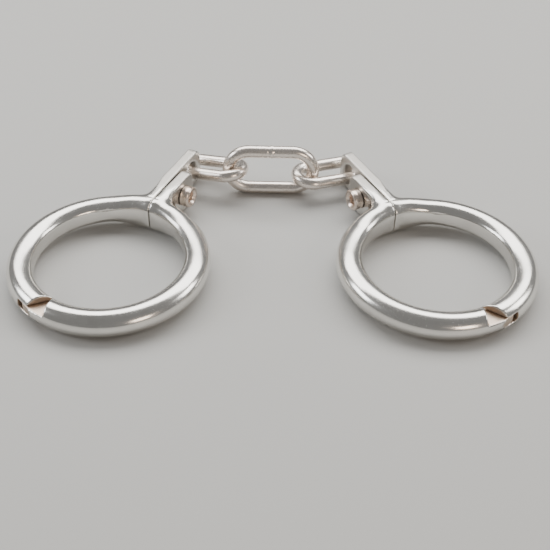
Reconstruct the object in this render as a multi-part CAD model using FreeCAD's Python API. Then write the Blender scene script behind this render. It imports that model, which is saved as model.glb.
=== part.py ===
"""A pair of screw-locked handcuffs of heavy stainless steel, in millimetres.

Each cuff is a ring of 12 mm round bar with a flat inner face. It is made in two halves. The
chain half carries a long lug with the chain hole, and a fork at the hinge. The swing half
carries a short lug with the screw hole, and a tongue that turns on the hinge pin between the
cheeks of the fork. A socket head screw through both lugs holds the ring shut. Three links of
6 mm wire join the two cuffs: a flat link through each long lug, and one between them that
stands on edge.

Each cuff is modelled in a frame of its own: the ring's centre is the origin, the ring lies in
the XY plane, the two lugs meet at the plane x = 0 and point along +Y, and the chain half is
on the -X side. The right cuff is the mirror image. Both are then laid on the floor at z = 0.
"""
import FreeCAD, Part
import math
import os

os.makedirs("parts", exist_ok=True)
V = FreeCAD.Vector
UP = V(0, 0, 1)
ORIGIN = V(0, 0, 0)

# --- the ring ---
BAR_RADIUS = 6.0
RING_RADIUS = 38.6            # centre line of the bar
FLAT_DEPTH = 5.2              # bar centre to the flat inner face
BORE_RADIUS = RING_RADIUS - FLAT_DEPTH
RING_OUTER = RING_RADIUS + BAR_RADIUS

# --- the lugs, and the blend from bar to lug ---
LUG_THICK = 5.0
LUG_START = 40.0              # inner end of the plate, inside the blend
LUG_HALF_HEIGHT = 8.5
CHAIN_LUG_TIP = 84.0          # from the ring's centre
SWING_LUG_TIP = 65.8
CHAIN_LUG_CORNER = 4.0
SWING_LUG_CORNER = 3.0
LUG_BEVEL = 0.35
SPLIT_GAP = 0.3               # between the lugs, at the ring
LUG_RELIEF = 1.4              # degrees that the short lug leans away from the long one
ROOT_FILLET = 7.0             # in plan, between the bar and the outer face of a lug
FLARE_TURN = 24.0             # degrees of ring over which the bar grows to the lug's height

# --- chain hole ---
CHAIN_HOLE_RADIUS = 5.0
CHAIN_HOLE_AT = 75.0
CHAIN_HOLE_ROUND = 1.0

# --- lock screw ---
SCREW_AT = 57.0
SCREW_RADIUS = 2.85
SCREW_REACH = 10.0            # under the head
SCREW_HOLE_RADIUS = 3.3
HEAD_RADIUS = 5.0
HEAD_HEIGHT = 4.0
HEAD_BEVEL = 0.5
HEAD_STAND_OFF = 0.3
SOCKET_FLATS = 5.0
SOCKET_DEPTH = 2.6
SOCKET_MOUTH_RADIUS = 3.7
SPOT_FACE_RADIUS = 9.0
SPOT_FACE_REACH = 12.0

# --- hinge ---
HINGE_TURN = {"left": 169.9, "right": 181.9}   # from the lugs, round the chain half
CHEEK_SLOPE = 33.0            # degrees from radial, end faces of the fork
SHOULDER_SLOPE = 17.0         # degrees from radial, shoulder beside the tongue
HINGE_GAP = 0.3
PIN_RADIUS = 2.0
PIN_FIT = 0.05
PIN_ALONG = 8.0               # from the hinge's inner edge, along the bar
PIN_OUT = RING_RADIUS         # from the ring's centre
TONGUE_HALF = 2.35
SLOT_HALF = 2.5
TONGUE_NOSE = 4.4
SLOT_ROOT_GAP = 0.7

# --- chain ---
WIRE_RADIUS = 3.0
END_LINK_LENGTH = 39.0
END_LINK_WIDTH = 20.0
MIDDLE_LINK_LENGTH = 47.2
MIDDLE_LINK_WIDTH = 26.5

# --- how the pieces lie ---
LEFT_CENTRE = (-73.04, -2.06)
LEFT_YAW = -24.6
RIGHT_CENTRE = (71.43, 0.52)
RIGHT_YAW = 28.7
# centre, turn about the vertical, slope along the link, and roll about its length
LEFT_LINK_LIES = (V(-32.14, 69.18, 10.35), -26.3, 11.2, -3.2)
MIDDLE_LINK_LIES = (V(-3.1, 64.3, MIDDLE_LINK_WIDTH / 2), 0.0, 0.0, 90.0)
RIGHT_LINK_LIES = (V(25.42, 69.04, 9.04), 24.7, -4.9, 2.0)

FAR = 60.0                    # reach of a cutting tool beyond the piece it cuts
OVERLAP_TURN = 2.0            # degrees of extra ring, cut away again at the hinge
NEAR_HINGE_TURN = 30.0        # degrees of ring each way that hold all of the hinge


def in_plan(points, half_height, at=0.0):
    """A prism of the outline given by (x, y) points, centred on the ring's plane."""
    corners = [V(x, y, at - half_height) for x, y in points]
    wire = Part.makePolygon(corners + corners[:1])
    return Part.Face(wire).extrude(V(0, 0, 2 * half_height))


def upright(radius, x, y, half_height):
    """A vertical cylinder centred on the ring's plane."""
    return Part.makeCylinder(radius, 2 * half_height, V(x, y, -half_height), UP)


def ring_arc(first_turn, last_turn, half_height):
    """The bar's section, flat on its inner side, bent round the ring between two turns."""
    flat = half_height * math.sqrt(1 - (FLAT_DEPTH / BAR_RADIUS) ** 2)
    top = V(0, BORE_RADIUS, flat)
    bottom = V(0, BORE_RADIUS, -flat)
    curve = Part.Arc(top, V(0, RING_OUTER, 0), bottom).toShape()
    if half_height > BAR_RADIUS:
        oval = Part.Ellipse(V(0, RING_RADIUS, half_height), V(0, RING_OUTER, 0),
                            V(0, RING_RADIUS, 0))
        curve = oval.toShape(oval.parameter(top), oval.parameter(bottom))
        if curve.BoundBox.YMax < RING_RADIUS:
            curve = oval.toShape(oval.parameter(bottom), oval.parameter(top))
    flat_side = Part.LineSegment(bottom, top).toShape()
    face = Part.Face(Part.Wire(Part.__sortEdges__([curve, flat_side])))
    arc = face.revolve(ORIGIN, UP, last_turn - first_turn)
    arc.rotate(ORIGIN, UP, first_turn)
    return arc


def root():
    """The swelling of the bar to the lug's height, and the fillet in plan beside the lug."""
    swelling = ring_arc(0, FLARE_TURN, LUG_HALF_HEIGHT)
    run = RING_RADIUS * math.radians(FLARE_TURN)
    slope = math.degrees(math.atan2(LUG_HALF_HEIGHT - BAR_RADIUS, run - LUG_THICK))
    for side in (1, -1):
        cutter = Part.makeBox(FAR, FAR, FAR / 4, V(-FAR - LUG_THICK, 0, 0))
        cutter.rotate(V(-LUG_THICK, 0, 0), V(0, 1, 0), -slope)
        cutter.translate(V(0, 0, LUG_HALF_HEIGHT))
        if side < 0:
            cutter = cutter.mirror(ORIGIN, UP)
        swelling = swelling.cut(cutter)
    off_x = LUG_THICK + ROOT_FILLET
    off_y = math.sqrt((RING_OUTER + ROOT_FILLET) ** 2 - off_x ** 2)
    web = in_plan([(0, RING_RADIUS), (0, off_y), (-LUG_THICK, off_y), (-off_x, off_y),
                   (-off_x * RING_RADIUS / RING_OUTER, RING_RADIUS)], BAR_RADIUS - LUG_BEVEL)
    web = web.cut(upright(ROOT_FILLET, -off_x, off_y, LUG_HALF_HEIGHT))
    return swelling, web


def corner_arc(y, z, radius, side):
    """A quarter of the lug's outline round its top (side 1) or bottom (side -1) tip corner."""
    slant = radius * math.sqrt(0.5)
    first = V(0, y, z + side * radius)
    last = V(0, y + radius, z)
    return Part.Arc(first, V(0, y + slant, z + side * slant), last).toShape()


def lug(tip, corner):
    """A lug plate on the -X side of the split, from inside the bar to its tip."""
    top = LUG_HALF_HEIGHT
    straight = tip - corner
    edges = [
        Part.LineSegment(V(0, LUG_START, top), V(0, straight, top)).toShape(),
        corner_arc(straight, top - corner, corner, 1),
        Part.LineSegment(V(0, tip, top - corner), V(0, tip, corner - top)).toShape(),
        corner_arc(straight, corner - top, corner, -1),
        Part.LineSegment(V(0, straight, -top), V(0, LUG_START, -top)).toShape(),
        Part.LineSegment(V(0, LUG_START, -top), V(0, LUG_START, top)).toShape(),
    ]
    outline = Part.Wire(Part.__sortEdges__(edges))
    plate = Part.Face(outline).extrude(V(-LUG_THICK, 0, 0))
    rim = [edge for edge in plate.Edges
           if edge.BoundBox.XLength < 0.01 and edge.BoundBox.YMax > LUG_START + 0.01]
    return plate.makeChamfer(LUG_BEVEL, rim)


def across(radius, y, first_x, last_x):
    """A round rod along X at mid height."""
    return Part.makeCylinder(radius, last_x - first_x, V(first_x, y, 0), V(1, 0, 0))


def at_hinge(shape, turn):
    """Move a shape made at the top of the ring to the hinge; its +X side is the chain half."""
    moved = shape.copy()
    moved.rotate(ORIGIN, UP, turn)
    return moved


def behind_line(slope, gap):
    """Everything on the swing half's side of a line that leans from the hinge's inner edge."""
    lean = math.radians(slope)
    tip = (math.sin(lean) * FAR - gap, BORE_RADIUS + math.cos(lean) * FAR)
    foot = (-gap, BORE_RADIUS)
    return in_plan([foot, tip, (-FAR, BORE_RADIUS + FAR), (-FAR, 0), (-gap, 0)], FAR / 4)


def tongue(turn):
    """The flat tongue of the swing half, as thick as the fork's slot allows."""
    lower = PIN_OUT - TONGUE_NOSE
    upper = PIN_OUT + TONGUE_NOSE
    nose = upright(TONGUE_NOSE, PIN_ALONG, PIN_OUT, TONGUE_HALF)
    neck = in_plan([(-FAR / 6, lower), (PIN_ALONG, lower), (PIN_ALONG, upper),
                    (PIN_ALONG / 3, RING_OUTER), (-FAR / 6, RING_OUTER)], TONGUE_HALF)
    return at_hinge(nose.fuse(neck), turn)


def pin_bore(radius, turn):
    """A vertical rod on the hinge's axis, longer than the bar is thick."""
    return at_hinge(upright(radius, PIN_ALONG, PIN_OUT, BAR_RADIUS + 1), turn)


def chain_half(turn):
    """The half with the long lug, the chain hole and the fork."""
    ring = ring_arc(FLARE_TURN, turn + OVERLAP_TURN, BAR_RADIUS)
    ring = ring.cut(at_hinge(behind_line(CHEEK_SLOPE, 0), turn))
    half = ring.fuse([*root(), lug(CHAIN_LUG_TIP, CHAIN_LUG_CORNER)])
    fork_root = PIN_ALONG + TONGUE_NOSE + SLOT_ROOT_GAP
    slot = in_plan([(-FAR, 0), (fork_root, 0), (fork_root, FAR), (-FAR, FAR)], SLOT_HALF)
    half = half.cut([at_hinge(slot, turn), pin_bore(PIN_RADIUS, turn)])
    half = half.cut(across(SCREW_HOLE_RADIUS, SCREW_AT, -FAR, FAR))
    half = half.cut(across(CHAIN_HOLE_RADIUS, CHAIN_HOLE_AT, -FAR, FAR))
    rims = [edge for edge in half.Edges if is_rim(edge, CHAIN_HOLE_RADIUS, CHAIN_HOLE_AT)]
    return half.makeFillet(CHAIN_HOLE_ROUND, rims)


def is_rim(edge, radius, y):
    """Whether an edge is the rim of a round hole through a lug."""
    curve = edge.Curve
    if not isinstance(curve, Part.Circle):
        return False
    return abs(curve.Radius - radius) < 0.01 and abs(curve.Center.y - y) < 0.01


def head_seat():
    """Where the outer face of the short lug crosses the screw's axis."""
    lean = math.tan(math.radians(LUG_RELIEF))
    return SPLIT_GAP + LUG_THICK + lean * (SCREW_AT - BORE_RADIUS)


def swing_half(turn):
    """The half with the short lug, the screw's clearance hole and the tongue."""
    ring = ring_arc(turn - OVERLAP_TURN, 360 - FLARE_TURN, BAR_RADIUS)
    ring = ring.cut(at_hinge(past_shoulder(), turn))
    plate = lug(SWING_LUG_TIP, SWING_LUG_CORNER)
    plate.rotate(V(0, BORE_RADIUS, 0), UP, LUG_RELIEF)
    plate.translate(V(-SPLIT_GAP, 0, 0))
    split = in_plan([(-SPLIT_GAP, 0), (FAR, 0), (FAR, FAR), (-SPLIT_GAP, FAR)], FAR)
    swelling, web = root()
    blend = swelling.fuse(web).cut(split).fuse(plate).mirror(ORIGIN, V(1, 0, 0))
    half = ring.fuse(blend)
    spot_face = across(SPOT_FACE_RADIUS, SCREW_AT, head_seat(), head_seat() + SPOT_FACE_REACH)
    half = half.cut([spot_face, across(SCREW_HOLE_RADIUS, SCREW_AT, -FAR, FAR)])
    near_hinge = ring_arc(turn - NEAR_HINGE_TURN, turn + NEAR_HINGE_TURN, BAR_RADIUS)
    blade = tongue(turn).common(near_hinge)
    return half.fuse(blade).cut(pin_bore(PIN_RADIUS + PIN_FIT, turn))


def past_shoulder():
    """Everything on the chain half's side of the shoulder."""
    lean = math.radians(SHOULDER_SLOPE)
    tip = (-HINGE_GAP - math.sin(lean) * FAR, BORE_RADIUS + math.cos(lean) * FAR)
    return in_plan([(-HINGE_GAP, BORE_RADIUS), tip, (FAR, BORE_RADIUS + FAR), (FAR, 0),
                    (-HINGE_GAP, 0)], FAR / 4)


def hinge_pin(turn):
    """The pin, ground flush with the bar."""
    near_hinge = ring_arc(turn - NEAR_HINGE_TURN, turn + NEAR_HINGE_TURN, BAR_RADIUS)
    return pin_bore(PIN_RADIUS, turn).common(near_hinge)


def lock_screw():
    """A socket head cap screw, its thread drawn smooth."""
    seat = head_seat() + HEAD_STAND_OFF
    face = seat + HEAD_HEIGHT
    head = across(HEAD_RADIUS, SCREW_AT, seat, face)
    head = head.makeChamfer(HEAD_BEVEL, [edge for edge in head.Edges
                                         if edge.BoundBox.XMin > face - 0.01])
    shank = across(SCREW_RADIUS, SCREW_AT, seat - SCREW_REACH, seat)
    shank = shank.makeChamfer(HEAD_BEVEL, [edge for edge in shank.Edges
                                           if edge.BoundBox.XMax < seat - SCREW_REACH + 0.01])
    corner = SOCKET_FLATS / math.sqrt(3)
    hexagon = [V(face, SCREW_AT + corner * math.cos(math.pi * i / 3),
                 corner * math.sin(math.pi * i / 3)) for i in range(6)]
    socket = Part.Face(Part.makePolygon(hexagon + hexagon[:1])).extrude(V(-SOCKET_DEPTH, 0, 0))
    dish = SOCKET_MOUTH_RADIUS - SOCKET_FLATS / 2
    mouth = Part.makeCone(SOCKET_FLATS / 2, SOCKET_MOUTH_RADIUS, dish,
                          V(face - dish, SCREW_AT, 0), V(1, 0, 0))
    return head.fuse(shank).cut([socket, mouth])


def link(length, width):
    """A closed oval link of round wire, lying flat, its length along X."""
    bend = width / 2 - WIRE_RADIUS
    reach = length / 2 - width / 2
    half_straight = Part.makeCylinder(WIRE_RADIUS, 2 * reach, V(-reach, bend, 0), V(1, 0, 0))
    other_straight = Part.makeCylinder(WIRE_RADIUS, 2 * reach, V(-reach, -bend, 0), V(1, 0, 0))
    ends = []
    for side in (1, -1):
        section = Part.makeCircle(WIRE_RADIUS, V(side * reach, -side * bend, 0), V(1, 0, 0))
        face = Part.Face(Part.Wire(section))
        ends.append(face.revolve(V(side * reach, 0, 0), UP, 180))
    return half_straight.fuse([other_straight] + ends).removeSplitter()


def lay_link(length, width, lies):
    """Put a link in its place: roll about its length, slope, then turn."""
    centre, turn, slope, roll = lies
    shape = link(length, width)
    shape.rotate(ORIGIN, V(1, 0, 0), roll)
    shape.rotate(ORIGIN, V(0, 1, 0), -slope)
    shape.rotate(ORIGIN, UP, turn)
    shape.translate(centre)
    return shape


def cuff(side):
    """The four pieces of one cuff, in its own frame."""
    turn = HINGE_TURN[side]
    pieces = {
        "chain_half": chain_half(turn),
        "swing_half": swing_half(turn),
        "hinge_pin": hinge_pin(turn),
        "lock_screw": lock_screw(),
    }
    if side == "left":
        return pieces
    return {name: shape.mirror(ORIGIN, V(1, 0, 0)) for name, shape in pieces.items()}


def resting_slope():
    """Slope of a cuff that stands on its lugs and on the far side of its ring."""
    step = LUG_HALF_HEIGHT - BAR_RADIUS
    return math.degrees(math.asin(step / (2 * RING_RADIUS)))


def lay_cuff(shape, centre, yaw):
    """Tip a cuff onto the floor, turn it and put its ring's centre in place."""
    slope = resting_slope()
    height = BAR_RADIUS + RING_RADIUS * math.sin(math.radians(slope))
    laid = shape.copy()
    laid.rotate(ORIGIN, V(1, 0, 0), slope)
    laid.rotate(ORIGIN, UP, yaw)
    laid.translate(V(centre[0], centre[1], height))
    return laid


nodes = {}
for side, centre, yaw in (("left", LEFT_CENTRE, LEFT_YAW), ("right", RIGHT_CENTRE, RIGHT_YAW)):
    for name, piece in cuff(side).items():
        nodes[side + "_" + name] = lay_cuff(piece, centre, yaw)
nodes["left_end_link"] = lay_link(END_LINK_LENGTH, END_LINK_WIDTH, LEFT_LINK_LIES)
nodes["middle_link"] = lay_link(MIDDLE_LINK_LENGTH, MIDDLE_LINK_WIDTH, MIDDLE_LINK_LIES)
nodes["right_end_link"] = lay_link(END_LINK_LENGTH, END_LINK_WIDTH, RIGHT_LINK_LIES)

# The model's origin is the middle of the floor under it.
box = Part.makeCompound(list(nodes.values())).optimalBoundingBox()
to_origin = V(-box.Center.x, -box.Center.y, -box.ZMin)
for name, shape in nodes.items():
    shape.translate(to_origin)
    print(name, shape.ShapeType, "solids", len(shape.Solids), "valid", shape.isValid(),
          "volume", round(shape.Volume, 1))
    shape.exportStep("parts/" + name + ".step")
print("size", box.XLength, box.YLength, box.ZLength)
print("moved by", to_origin)
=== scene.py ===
# %% [markdown]
# # A pair of screw-locked handcuffs
# The frame holds the eleven steel pieces where they belong. This lesson gives them the look of
# heavy polished stainless steel: soft edges, a blended root between ring and lug, wavy chain
# wire, and a finish that is bright on the rings and satin on the lugs.

# %% Load the frame
import math
import bpy
import numpy as np
from mathutils import Matrix, Vector


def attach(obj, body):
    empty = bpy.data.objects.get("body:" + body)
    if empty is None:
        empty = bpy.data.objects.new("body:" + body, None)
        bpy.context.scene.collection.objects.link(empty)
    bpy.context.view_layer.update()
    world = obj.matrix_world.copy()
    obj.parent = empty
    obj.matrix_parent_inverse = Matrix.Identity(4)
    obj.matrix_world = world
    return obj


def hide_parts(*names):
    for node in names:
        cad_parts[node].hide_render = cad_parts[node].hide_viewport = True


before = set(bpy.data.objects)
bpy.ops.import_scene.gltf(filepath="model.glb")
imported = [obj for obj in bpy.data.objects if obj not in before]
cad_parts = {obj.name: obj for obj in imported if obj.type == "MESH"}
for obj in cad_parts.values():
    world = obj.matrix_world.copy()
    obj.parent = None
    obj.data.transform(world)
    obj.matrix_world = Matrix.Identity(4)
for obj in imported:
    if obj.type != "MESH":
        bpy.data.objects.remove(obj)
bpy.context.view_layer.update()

# %% [markdown]
# ## Sizes
# Each cuff is worked on lying flat in millimetres, its ring's centre at the origin and its lugs
# pointing along +Y. These are the same sizes that the steel is cut to.

# %% Sizes in millimetres
BAR = 6.0                    # radius of the round bar
RING = 38.6                  # radius of the bar's centre line
INNER = 33.4                 # radius of the flat inner face
LUG_TOP = 8.5                # half the lugs' height
WIRE = 3.0                   # radius of the chain wire
SKIN = BAR + 0.012           # the polished skin closes over the ground ends of the pins
GRAIN = 0.4                  # size of the even squares that cover a half ring
WELD_GAP = 0.001             # points closer than this are one point
HINGE_TURN = {"left": 169.9, "right": 181.9}
CUFF_CENTRE = {"left": (-73.04, -2.06), "right": (71.43, 0.52)}
CUFF_YAW = {"left": -24.6, "right": 28.7}
ORIGIN_MOVE = Vector((0.80558, -18.30037, 0.00838))    # puts the whole piece over the origin
CUFF_SLOPE = math.asin((LUG_TOP - BAR) / (2 * RING))
MM = Matrix.Diagonal((0.001, 0.001, 0.001, 1))
print("each cuff slopes by", round(math.degrees(CUFF_SLOPE), 2), "degrees")

# %% [markdown]
# ## From a cuff's own frame to the floor
# One matrix carries a flat cuff to where it lies. The right cuff is a mirror image of the left.

# %% Where each cuff lies
def cuff_matrix(side):
    x, y = CUFF_CENTRE[side]
    height = BAR + RING * math.sin(CUFF_SLOPE)
    mirror = Matrix.Diagonal((-1 if side == "right" else 1, 1, 1, 1))
    move = Matrix.Translation(Vector((x, y, height)) + ORIGIN_MOVE)
    turn = Matrix.Rotation(math.radians(CUFF_YAW[side]), 4, "Z")
    tip = Matrix.Rotation(CUFF_SLOPE, 4, "X")
    return MM @ move @ turn @ tip @ mirror


def carry(points, matrix):
    m = np.array(matrix)
    return points @ m[:3, :3].T + m[:3, 3]


for side in ("left", "right"):
    at = cuff_matrix(side).translation * 1000
    print(side, "ring centre in mm:", [round(v, 2) for v in at])

# %% [markdown]
# ## Tools for shaping a surface
# `grain` covers a solid with small even squares. `relax` lets the squares pull on each other, so
# that a hard step turns into a smooth blend. `fade` is a soft switch from 0 to 1.

# %% Surface tools
def grain(points, faces, size):
    mesh = bpy.data.meshes.new("raw")
    mesh.from_pydata(points.tolist(), [], faces)
    raw = bpy.data.objects.new("raw", mesh)
    bpy.context.scene.collection.objects.link(raw)
    weld = raw.modifiers.new("weld", "WELD")
    weld.merge_threshold = WELD_GAP
    even = raw.modifiers.new("even", "REMESH")
    even.mode = "VOXEL"
    even.voxel_size = size
    bpy.context.view_layer.update()
    seen = raw.evaluated_get(bpy.context.evaluated_depsgraph_get())
    made = bpy.data.meshes.new_from_object(seen)
    out = np.empty(3 * len(made.vertices))
    made.vertices.foreach_get("co", out)
    polygons = [tuple(p.vertices) for p in made.polygons]
    edges = np.array([tuple(e.vertices) for e in made.edges])
    bpy.data.objects.remove(raw)
    bpy.data.meshes.remove(mesh)
    bpy.data.meshes.remove(made)
    return out.reshape(-1, 3), polygons, edges


def relax(points, edges, weight, rounds):
    n = len(points)
    a, b = edges[:, 0], edges[:, 1]
    count = np.maximum(np.bincount(edges.ravel(), minlength=n), 1)
    for _ in range(rounds):
        for axis in range(3):
            column = points[:, axis]
            total = np.bincount(a, column[b], n) + np.bincount(b, column[a], n)
            column += weight * (total / count - column)
    return points


def fade(value, start, end):
    t = np.clip((value - start) / (end - start), 0, 1)
    return t * t * (3 - 2 * t)


print("a soft switch halfway:", fade(np.array([0.5]), 0, 1))

# %% [markdown]
# ## Shape the half rings
# The bar swells into the lug with no visible step, so the surface there is relaxed for many
# rounds. Everywhere else it is only relaxed enough to take the sharpness off the edges. Then the
# bar is pulled onto its true section, round on the ring and a taller oval towards the lug, so
# that its reflections run clean.
# The hinge pins were ground flush and polished over, so the chain halves' skin covers their ends.

# %% Shape the half rings
# Pairs are where a mark starts and where it is full. Turns are degrees round the ring from the
# lugs; everything else is in millimetres.
PULL = 0.5                   # how far a round of relaxing moves a point
EDGE_ROUNDS, ROOT_ROUNDS, LAST_ROUNDS = 3, 110, 40
ROOT_BESIDE_LUG, ROOT_ON_RING = (3, 8), (44, 34)
ROOT_UP_LUG = (56, 50)
ROOT_OFF_SPLIT = (0.3, 1.0)  # the flat faces where the halves meet stay flat
SWELLING_TURN, SWELLING_OUT, SWELLING_REACH = (9, 16), (47, 41), (45.6, 44.8)
SWELLING_ENDS = 60
RING_TURN = (26, 36)
LOOSE, CLOSE = 0.35, 0.034   # how far off its section a point may be and still be pulled on
BAR_SWELLS = (34, 3)
FLAT_BEGINS = -4.9           # from the bar's centre line
NEAR_FLAT = 0.2
FLAT_SHARE = 0.43            # half the flat's width, against the bar's half height
SATIN_OUT, SATIN_FACE = (46, 52), (0.35, 0.15)
SATIN_END, SATIN_END_SHARE = (50, 60), 0.6
# where painted shade goes: the hollow of the hinge, near the hinge turn, deep in the bar and on
# its inside
HOLLOW_SHADE_TURN, HOLLOW_SHADE_DEEP, HOLLOW_SHADE_INNER = (24, 20), (5.9, 5.5), (33.5, 33.8)


def half_ring(side, kind):
    matrix = cuff_matrix(side)
    sources = [side + "_" + kind]
    if kind == "chain_half":
        sources.append(side + "_hinge_pin")
    world, faces = [], []
    for source in sources:
        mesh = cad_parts[source].data
        start = len(world)
        world += [tuple(v.co) for v in mesh.vertices]
        faces += [tuple(start + v for v in p.vertices) for p in mesh.polygons]
    points = carry(np.array(world), matrix.inverted())
    points, faces, edges = grain(points, faces, GRAIN)
    x, y, z = points.T
    turn = np.degrees(np.arctan2(abs(x), y))
    at_root = fade(turn, *ROOT_BESIDE_LUG) * fade(turn, *ROOT_ON_RING) * fade(y, *ROOT_UP_LUG)
    at_root *= fade(abs(x), *ROOT_OFF_SPLIT)
    relax(points, edges, PULL * np.ones(len(points)), EDGE_ROUNDS)
    relax(points, edges, PULL * at_root, ROOT_ROUNDS)
    on_swelling = fade(turn, *SWELLING_TURN) * fade(y, *SWELLING_OUT)
    on_swelling = on_swelling * fade(np.hypot(x, y), *SWELLING_REACH)
    to_section(points, on_swelling * (turn < SWELLING_ENDS), LOOSE)
    relax(points, edges, PULL * at_root, LAST_ROUNDS)
    to_section(points, fade(turn, *RING_TURN), CLOSE)
    return finish_half(side, kind, points, faces, matrix)


def to_section(points, share, reach):
    x, y, z = points.T
    turn = np.degrees(np.arctan2(abs(x), y))
    tall = BAR + (LUG_TOP - BAR) * fade(turn, *BAR_SWELLS)
    around = np.hypot(x, y)
    out = around - RING
    deep = np.hypot(out / BAR, z / tall)
    on_bar = (abs(deep - 1) < reach) & (out > FLAT_BEGINS)
    on_flat = (abs(around - INNER) < NEAR_FLAT) & (abs(z) < FLAT_SHARE * tall)
    new_around = np.where(on_bar, RING + out / deep * SKIN / BAR, around)
    new_around = np.where(on_flat, INNER, new_around)
    new_z = np.where(on_bar & ~on_flat, z / deep * SKIN / BAR, z)
    scale = 1 + share * (new_around / around - 1)
    points[:, 0] *= scale
    points[:, 1] *= scale
    points[:, 2] += share * (new_z - z)


def finish_half(side, kind, points, faces, matrix):
    x, y, z = points.T
    turn = np.degrees(np.arctan2(-x, y)) % 360
    from_hinge = abs(turn - HINGE_TURN[side])
    satin = fade(y, *SATIN_OUT) * fade(abs(abs(z) - LUG_TOP), *SATIN_FACE)
    satin = np.maximum(satin, SATIN_END_SHARE * fade(y, *SATIN_END))
    # painted shade: a mask for the hollow of the hinge, where the colour is darkened to a tan to
    # stand for the shade in it
    deep = np.hypot(np.hypot(x, y) - RING, z)
    hollow_shade = fade(from_hinge, *HOLLOW_SHADE_TURN) * fade(deep, *HOLLOW_SHADE_DEEP)
    hollow_shade = hollow_shade * fade(np.hypot(x, y), *HOLLOW_SHADE_INNER)
    mesh = bpy.data.meshes.new(side + "_" + kind + "_steel")
    mesh.from_pydata(carry(points, matrix).tolist(), [], faces)
    if side == "right":
        mesh.flip_normals()
    for name, values in (("satin", satin), ("hollow_shade", hollow_shade)):
        layer = mesh.attributes.new(name, "FLOAT", "POINT")
        layer.data.foreach_set("value", values.astype(np.float32))
    mesh.shade_smooth()
    return show(mesh, side + "_" + kind, side + "_" + kind)


def show(mesh, node, body):
    piece = bpy.data.objects.new(mesh.name, mesh)
    bpy.context.scene.collection.objects.link(piece)
    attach(piece, body)
    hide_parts(node)
    return piece


halves = []
for side in ("left", "right"):
    for kind in ("chain_half", "swing_half"):
        halves.append(half_ring(side, kind))
        print(halves[-1].name, len(halves[-1].data.polygons), "faces")

# %% [markdown]
# ## Bend the chain links
# A link is a round wire led round an oval. Real chain wire is never quite even, so its thickness
# varies a little and its surface is slightly lumpy. The middle link shows where its ends were
# welded together: a low ridge between two shallow grooves.

# %% Bend the chain links
ROUND = 36                   # points round the wire
STATIONS = 320               # places along it
END_LINK, MIDDLE_LINK = (39, 20), (47.2, 26.5)
THINNED = 0.03               # keeps the waves inside the frame's wire
LUMP = 0.013
LUMP_WAVES = ((3, 1), (7, 2), (13, 3), (19, 1), (29, 2), (41, 4))    # along and round the wire
LUMP_PHASE, LUMP_FALLOFF = 1.7, 1.2
WELD_PLACE, WELD_DEPTH = 0.4, 0.16
RIDGE_WIDTH = 0.7
GROOVE_PLACES, GROOVE_WIDTH = (-1.5, 1.5), 0.35


def oval(length, width, steps):
    bend = width / 2 - WIRE
    reach = length / 2 - width / 2
    quarter = math.pi * bend
    whole = 4 * reach + 2 * quarter
    places = []
    for i in range(steps):
        s = whole * i / steps
        if s < 2 * reach:
            places.append((reach - s, bend, 0.0, 1.0))
        elif s < 2 * reach + quarter:
            a = (s - 2 * reach) / bend
            places.append((-reach - bend * math.sin(a), bend * math.cos(a),
                           -math.sin(a), math.cos(a)))
        elif s < 4 * reach + quarter:
            places.append((-reach + s - 2 * reach - quarter, -bend, 0.0, -1.0))
        else:
            a = (s - 4 * reach - quarter) / bend
            places.append((reach + bend * math.sin(a), -bend * math.cos(a),
                           math.sin(a), -math.cos(a)))
    return np.array(places)


def wire_radius(places, seed, weld):
    along = np.arange(len(places)) / len(places) * 2 * math.pi
    around = np.arange(ROUND) / ROUND * 2 * math.pi
    s, t = np.meshgrid(along, around, indexing="ij")
    lumps = 0.0
    for k, (waves, twists) in enumerate(LUMP_WAVES):
        wave = np.sin(waves * s + twists * t + seed * (k + LUMP_PHASE))
        lumps = lumps + wave / (1 + k) ** LUMP_FALLOFF
    radius = WIRE - THINNED + LUMP * lumps
    if weld:
        gap = places[:, :1] - WELD_PLACE
        on_top = (places[:, 1:2] > 0) * 1.0
        radius = radius + on_top * WELD_DEPTH * np.exp(-(gap / RIDGE_WIDTH) ** 2)
        for middle in GROOVE_PLACES:
            dip = np.exp(-((gap - middle) / GROOVE_WIDTH) ** 2)
            radius = radius - on_top * WELD_DEPTH * dip
    return radius, t


def chain_link(node, size, centre, yaw, slope, roll, seed, weld=False):
    places = oval(*size, STATIONS)
    radius, t = wire_radius(places, seed, weld)
    outward = places[:, 2:4]
    points = np.empty((STATIONS, ROUND, 3))
    points[..., 0] = places[:, :1] + radius * np.cos(t) * outward[:, :1]
    points[..., 1] = places[:, 1:2] + radius * np.cos(t) * outward[:, 1:2]
    points[..., 2] = radius * np.sin(t)
    lay = (MM @ Matrix.Translation(Vector(centre) + ORIGIN_MOVE)
           @ Matrix.Rotation(math.radians(yaw), 4, "Z")
           @ Matrix.Rotation(math.radians(-slope), 4, "Y")
           @ Matrix.Rotation(math.radians(roll), 4, "X"))
    flat = carry(points.reshape(-1, 3), lay)
    faces = []
    for i in range(STATIONS):
        j = (i + 1) % STATIONS
        for k in range(ROUND):
            m = (k + 1) % ROUND
            faces.append((i * ROUND + k, i * ROUND + m, j * ROUND + m, j * ROUND + k))
    mesh = bpy.data.meshes.new(node + "_wire")
    mesh.from_pydata(flat.tolist(), [], faces)
    mesh.shade_smooth()
    return show(mesh, node, node)


links = [
    chain_link("left_end_link", END_LINK, (-32.14, 69.18, 10.35), -26.3, 11.2, -3.2, 1.0),
    chain_link("middle_link", MIDDLE_LINK, (-3.1, 64.3, 13.25), 0, 0, 90, 2.3, weld=True),
    chain_link("right_end_link", END_LINK, (25.42, 69.04, 9.04), 24.7, -4.9, 2.0, 4.1),
]
for piece in links:
    print(piece.name, len(piece.data.polygons), "faces")

# %% [markdown]
# ## Soften the screws and pins
# The screws and pins keep their machined shape. A narrow bevel catches the light on each edge.

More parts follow.
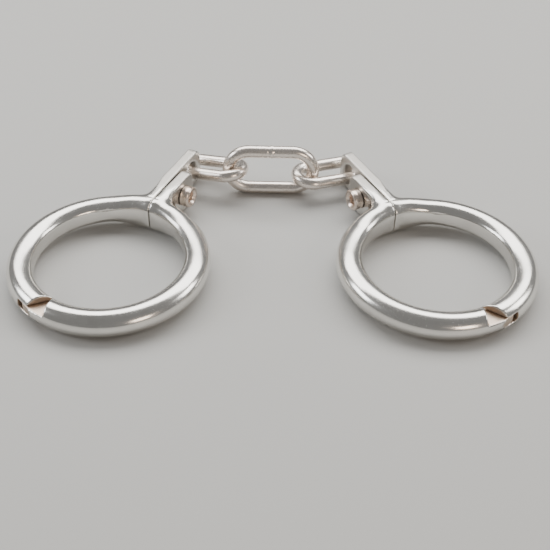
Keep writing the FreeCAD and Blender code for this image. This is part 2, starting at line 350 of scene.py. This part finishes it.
# %% Soften the screws and pins
SCREW_EDGE, PIN_EDGE = 0.00012, 0.00005      # widths of the bevels in metres
SMALL_WELD_GAP = 0.000002
SHARP = math.radians(25)                     # only edges sharper than this are bevelled


def soften(node, width):
    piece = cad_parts[node]
    piece.data.shade_smooth()
    weld = piece.modifiers.new("weld", "WELD")
    weld.merge_threshold = SMALL_WELD_GAP
    edge = piece.modifiers.new("edge", "BEVEL")
    edge.width = width
    edge.segments = 2
    edge.limit_method = "ANGLE"
    edge.angle_limit = SHARP
    edge.harden_normals = True
    return piece


small = []
for side in ("left", "right"):
    small.append(soften(side + "_lock_screw", SCREW_EDGE))
    small.append(soften(side + "_hinge_pin", PIN_EDGE))
print("softened", [piece.name for piece in small])

# %% [markdown]
# ## The steel's surface
# Polished steel is never a perfect mirror. One shared group of nodes makes what all the steel
# has in common: fine hairline scratches, small pits, and long soft waves left by the polishing
# wheel. It gives out a roughness, a tint and a normal.

# %% Shared surface wear
def link_up(tree, source, target):
    tree.links.new(source, target)


def noise(tree, vector, scale, detail, stretch=(1, 1, 1)):
    mapping = tree.nodes.new("ShaderNodeMapping")
    mapping.inputs["Scale"].default_value = stretch
    link_up(tree, vector, mapping.inputs["Vector"])
    made = tree.nodes.new("ShaderNodeTexNoise")
    made.inputs["Scale"].default_value = scale
    made.inputs["Detail"].default_value = detail
    link_up(tree, mapping.outputs["Vector"], made.inputs["Vector"])
    return made.outputs["Fac"]


def remap(tree, value, low, high, to_low, to_high):
    made = tree.nodes.new("ShaderNodeMapRange")
    for name, number in (("From Min", low), ("From Max", high),
                         ("To Min", to_low), ("To Max", to_high)):
        made.inputs[name].default_value = number
    link_up(tree, value, made.inputs["Value"])
    return made.outputs["Result"]


def combine(tree, operation, first, second):
    made = tree.nodes.new("ShaderNodeMath")
    made.operation = operation
    link_up(tree, first, made.inputs[0])
    link_up(tree, second, made.inputs[1])
    return made.outputs[0]


def add(tree, first, second):
    return combine(tree, "ADD", first, second)


def bump(tree, height, distance, strength, below=None):
    made = tree.nodes.new("ShaderNodeBump")
    made.inputs["Distance"].default_value = distance
    made.inputs["Strength"].default_value = strength
    link_up(tree, height, made.inputs["Height"])
    if below:
        link_up(tree, below, made.inputs["Normal"])
    return made.outputs["Normal"]


def wear_group():
    group = bpy.data.node_groups.new("polished_wear", "ShaderNodeTree")
    for name, usual in (("Haze", 0.15), ("Scratches", 1.0), ("Waviness", 0.22)):
        socket = group.interface.new_socket(name=name, in_out="INPUT",
                                            socket_type="NodeSocketFloat")
        socket.default_value = usual
    for name in ("Roughness", "Stain"):
        group.interface.new_socket(name=name, in_out="OUTPUT", socket_type="NodeSocketFloat")
    group.interface.new_socket(name="Normal", in_out="OUTPUT", socket_type="NodeSocketVector")
    given = group.nodes.new("NodeGroupInput")
    place = group.nodes.new("ShaderNodeTexCoord").outputs["Object"]
    hairs = noise(group, place, scale=90, detail=4, stretch=(1, 40, 22))
    cross_hairs = noise(group, place, scale=110, detail=3, stretch=(30, 1, 18))
    scratched = add(group, remap(group, hairs, 0.56, 0.75, 0.0, 0.10),
                    remap(group, cross_hairs, 0.58, 0.78, 0.0, 0.08))
    scratched = combine(group, "MULTIPLY", scratched, given.outputs["Scratches"])
    clouds = noise(group, place, scale=60, detail=4)
    cloud = remap(group, clouds, 0.35, 0.7, 0.0, 0.08)
    rough = add(group, add(group, scratched, cloud), given.outputs["Haze"])
    spots = noise(group, place, scale=130, detail=5)
    stain = remap(group, spots, 0.5, 0.72, 0.0, 1.0)
    waves = noise(group, place, scale=85, detail=1)
    normal = bump(group, waves, distance=0.0006, strength=0.22)
    link_up(group, given.outputs["Waviness"], normal.node.inputs["Strength"])
    pits = noise(group, place, scale=900, detail=2)
    normal = bump(group, pits, distance=0.00005, strength=0.10, below=normal)
    out = group.nodes.new("NodeGroupOutput")
    link_up(group, rough, out.inputs["Roughness"])
    link_up(group, stain, out.inputs["Stain"])
    link_up(group, normal, out.inputs["Normal"])
    return group


wear = wear_group()
print("shared group puts out", [item.name for item in wear.interface.items_tree])

# %% [markdown]
# ## Steel materials
# All the steel has a slightly warm grey. The half rings read two marks that were put on them
# while they were shaped: `satin`, where the lugs were left brushed, and a second mark in the
# hollow of the hinge, where painted shade darkens the colour to a tan.

# %% Steel materials
def mix_colour(tree, share, first, second):
    made = tree.nodes.new("ShaderNodeMix")
    made.data_type = "RGBA"
    made.inputs["A"].default_value = (*first, 1)
    made.inputs["B"].default_value = (*second, 1)
    link_up(tree, share, made.inputs["Factor"])
    return made.outputs["Result"]


def tinted(tree, base, mask, colour, most):
    made = tree.nodes.new("ShaderNodeMix")
    made.data_type = "RGBA"
    link_up(tree, base, made.inputs["A"])
    made.inputs["B"].default_value = (*colour, 1)
    link_up(tree, remap(tree, mask, 0, 1, 0, most), made.inputs["Factor"])
    return made.outputs["Result"]


SATIN_GREY, SATIN_MOST, SATIN_ROUGH = (0.58, 0.555, 0.52), 0.85, 0.26
# painted shade: the hinge hollow is mixed towards this darker tan, with some extra roughness
HOLLOW_SHADE_TAN, HOLLOW_SHADE_MOST, HOLLOW_ROUGH = (0.62, 0.50, 0.40), 0.9, 0.2
STAIN_MOST = 0.35


def steel(name, colour, stained, haze, waviness, marks=False):
    material = bpy.data.materials.new(name)
    material.use_nodes = True
    tree = material.node_tree
    shader = tree.nodes["Principled BSDF"]
    shader.inputs["Metallic"].default_value = 1.0
    worn = tree.nodes.new("ShaderNodeGroup")
    worn.node_tree = wear
    worn.inputs["Haze"].default_value = haze
    worn.inputs["Waviness"].default_value = waviness
    rough = worn.outputs["Roughness"]
    tint = worn.outputs["Stain"]
    base = mix_colour(tree, remap(tree, tint, 0, 1, 0, STAIN_MOST), colour, stained)
    if marks:
        satin = tree.nodes.new("ShaderNodeAttribute")
        satin.attribute_name = "satin"
        hollow_shade = tree.nodes.new("ShaderNodeAttribute")
        hollow_shade.attribute_name = "hollow_shade"
        rough = add(tree, rough, remap(tree, satin.outputs["Fac"], 0, 1, 0, SATIN_ROUGH))
        rough = add(tree, rough, remap(tree, hollow_shade.outputs["Fac"], 0, 1, 0, HOLLOW_ROUGH))
        base = tinted(tree, base, satin.outputs["Fac"], SATIN_GREY, SATIN_MOST)
        # painted shade in the hinge hollow: the colour is mixed towards the dark tan
        base = tinted(tree, base, hollow_shade.outputs["Fac"], HOLLOW_SHADE_TAN, HOLLOW_SHADE_MOST)
    link_up(tree, base, shader.inputs["Base Color"])
    link_up(tree, rough, shader.inputs["Roughness"])
    link_up(tree, worn.outputs["Normal"], shader.inputs["Normal"])
    return material


cuff_steel = steel("cuff_steel", colour=(0.79, 0.77, 0.735), stained=(0.66, 0.63, 0.59),
                   haze=0.15, waviness=0.18, marks=True)
chain_steel = steel("chain_steel", colour=(0.86, 0.79, 0.73), stained=(0.72, 0.61, 0.53),
                    haze=0.22, waviness=0.10)
screw_steel = steel("screw_steel", colour=(0.80, 0.69, 0.61), stained=(0.50, 0.38, 0.31),
                    haze=0.22, waviness=0.10)
pin_steel = steel("pin_steel", colour=(0.76, 0.72, 0.68), stained=(0.60, 0.52, 0.46),
                  haze=0.20, waviness=0.10)


def dress(piece, material):
    piece.data.materials.clear()
    piece.data.materials.append(material)


for piece in halves:
    dress(piece, cuff_steel)
for piece in links:
    dress(piece, chain_steel)
for piece in small:
    if "screw" in piece.name:
        dress(piece, screw_steel)
    else:
        dress(piece, pin_steel)
print("steels:", [m.name for m in (cuff_steel, chain_steel, screw_steel, pin_steel)])

# %% [markdown]
# ## Floor
# A plain pale floor, wide enough to fill the view and every reflection.

# %% Floor
WIDE = 15.0                  # half the floor's width in metres
FLOOR_DROP = 0.0002          # keeps the floor just clear of the steel
corners = [(-WIDE, -WIDE, 0), (WIDE, -WIDE, 0), (WIDE, WIDE, 0), (-WIDE, WIDE, 0)]
floor_mesh = bpy.data.meshes.new("floor")
floor_mesh.from_pydata(corners, [], [(0, 1, 2, 3)])
floor = bpy.data.objects.new("floor", floor_mesh)
floor.location.z = -FLOOR_DROP
bpy.context.scene.collection.objects.link(floor)
pale = bpy.data.materials.new("pale_floor")
pale.use_nodes = True
pale_shader = pale.node_tree.nodes["Principled BSDF"]
pale_shader.inputs["Base Color"].default_value = (0.50, 0.495, 0.48, 1)
pale_shader.inputs["Roughness"].default_value = 0.6
floor_mesh.materials.append(pale)
print("floor is", 2 * WIDE, "m wide")

# %% [markdown]
# ## Light
# Four large soft lights. The broad one overhead draws the wide white band along the top of the
# rings, the two at the sides give them form, and a low warm one at the front brings out the tan
# tones on the chain.

# %% Light
def soft_light(name, place, target, size, watts, colour):
    data = bpy.data.lights.new(name, "AREA")
    data.shape = "RECTANGLE"
    data.size, data.size_y = size
    data.energy = watts
    data.color = colour
    lamp = bpy.data.objects.new(name, data)
    bpy.context.scene.collection.objects.link(lamp)
    lamp.location = place
    lamp.rotation_mode = "QUATERNION"
    aim = Vector(target) - Vector(place)
    lamp.rotation_quaternion = aim.to_track_quat("-Z", "Y")
    return lamp


MIDDLE = (0, 0, 0)
soft_light("overhead", place=(0.0, 0.50, 0.80), target=MIDDLE, size=(1.7, 0.62),
           watts=17.0, colour=(1.0, 0.99, 0.965))
soft_light("left_side", place=(-0.95, 0.0, 0.5), target=MIDDLE, size=(0.5, 0.4),
           watts=4.0, colour=(0.96, 0.98, 1.0))
soft_light("right_side", place=(0.95, 0.1, 0.5), target=MIDDLE, size=(0.4, 0.4),
           watts=3.0, colour=(1.0, 0.98, 0.95))
soft_light("front_warm", place=(0.5, -0.8, 0.35), target=MIDDLE, size=(0.3, 0.25),
           watts=1.4, colour=(1.0, 0.82, 0.66))
world = bpy.data.worlds.new("studio")
bpy.context.scene.world = world
world.use_nodes = True
world.node_tree.nodes["Background"].inputs["Color"].default_value = (0.34, 0.34, 0.335, 1)
world.node_tree.nodes["Background"].inputs["Strength"].default_value = 0.7

# %% [markdown]
# ## Camera
# The camera looks down on the cuffs from the front at about forty degrees.

# %% Camera
LENS = 66.45
PITCH = math.radians(39.64)
LEAN = math.radians(1.16)
DISTANCE = 453.45            # millimetres from the middle of the piece
camera_data = bpy.data.cameras.new("camera")
camera_data.lens = LENS
camera_data.sensor_width = 36
camera_data.clip_start = 0.01
camera = bpy.data.objects.new("camera", camera_data)
bpy.context.scene.collection.objects.link(camera)
back = Vector((0, -math.cos(PITCH), math.sin(PITCH)))
camera.rotation_mode = "QUATERNION"
camera.location = (ORIGIN_MOVE + DISTANCE * back) / 1000
lean = Matrix.Rotation(LEAN, 3, "Z").to_quaternion()
camera.rotation_quaternion = (-back).to_track_quat("-Z", "Y") @ lean
bpy.context.scene.camera = camera
print("camera at", [round(v, 3) for v in camera.location])
